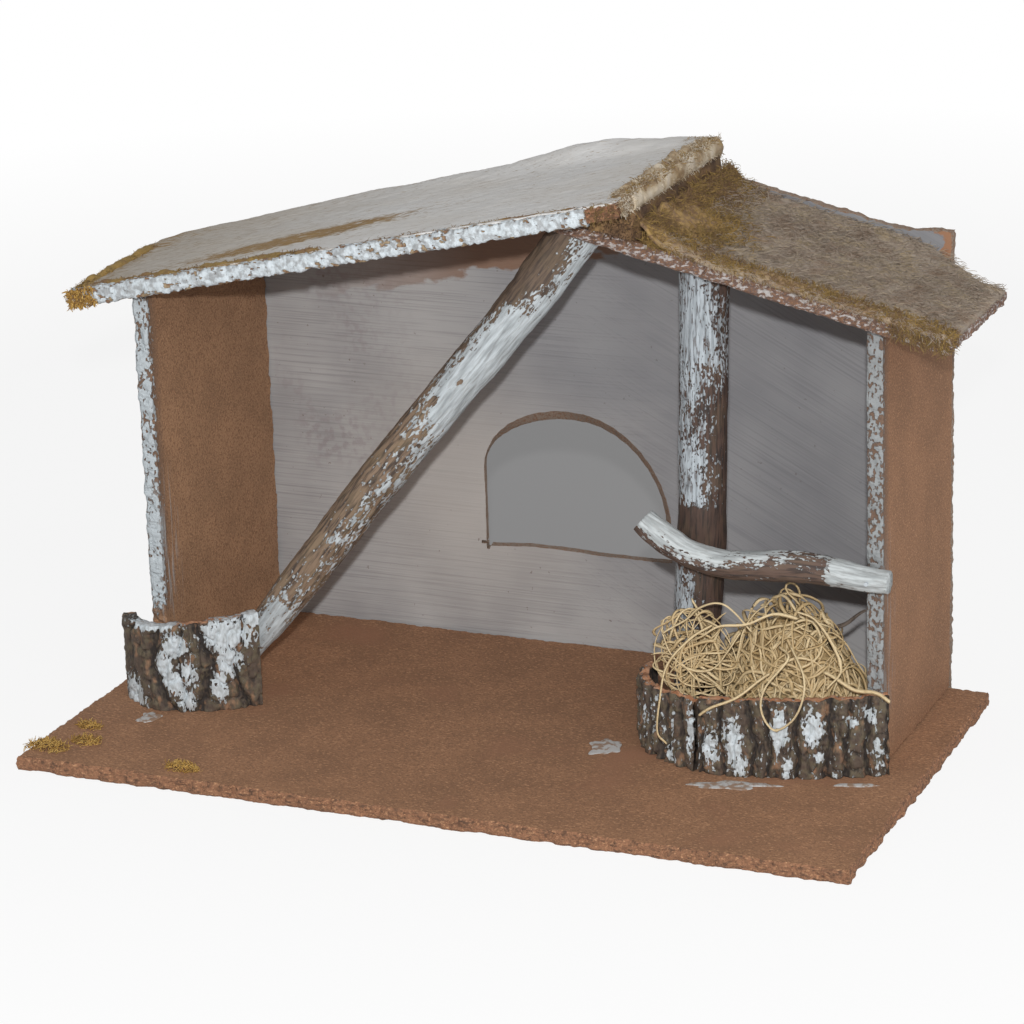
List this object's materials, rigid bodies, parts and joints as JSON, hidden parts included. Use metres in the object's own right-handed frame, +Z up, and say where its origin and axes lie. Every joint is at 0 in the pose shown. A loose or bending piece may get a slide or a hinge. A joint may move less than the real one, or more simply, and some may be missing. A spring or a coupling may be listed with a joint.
{
  "type": "nativity_stable",
  "caption": "Open-fronted nativity stable with a whitewashed back wall, a leaning bark pole, a straw-filled manger and a mossy two-slope roof",
  "frame": {"origin": "middle of the base board's underside", "axes": "+X along the open front to the right, +Y from the front to the back wall, +Z up"},
  "size_m": [0.3821, 0.2035, 0.2419],
  "materials": {
    "fibreboard": "matte",
    "whitewashed_board": "matte",
    "grey_board": "matte",
    "branch": "matte",
    "bark": "matte",
    "straw": "matte",
    "moss": "matte",
    "steel": "satin",
    "glue": "matte"
  },
  "bodies": {
    "root": {"base_board": "fibreboard", "back_wall": "whitewashed_board", "left_wall": "fibreboard", "right_wall": "fibreboard", "left_roof_board": "grey_board", "right_roof_board": "fibreboard", "leaning_pole": "branch", "upright_post": "branch", "crooked_rail": "branch", "corner_bark": "bark", "manger_left_bark": "bark", "manger_front_bark": "bark", "straw_heap": "straw", "dry_stalk": "branch", "left_roof_moss": "moss", "right_roof_moss": "moss", "ridge_moss": "moss", "base_moss": "moss", "base_brads": "steel", "back_brads": "steel", "roof_brads": "steel", "rail_nails": "steel", "branch_nails": "steel", "glue_smears": "glue"}
  },
  "joints": []
}
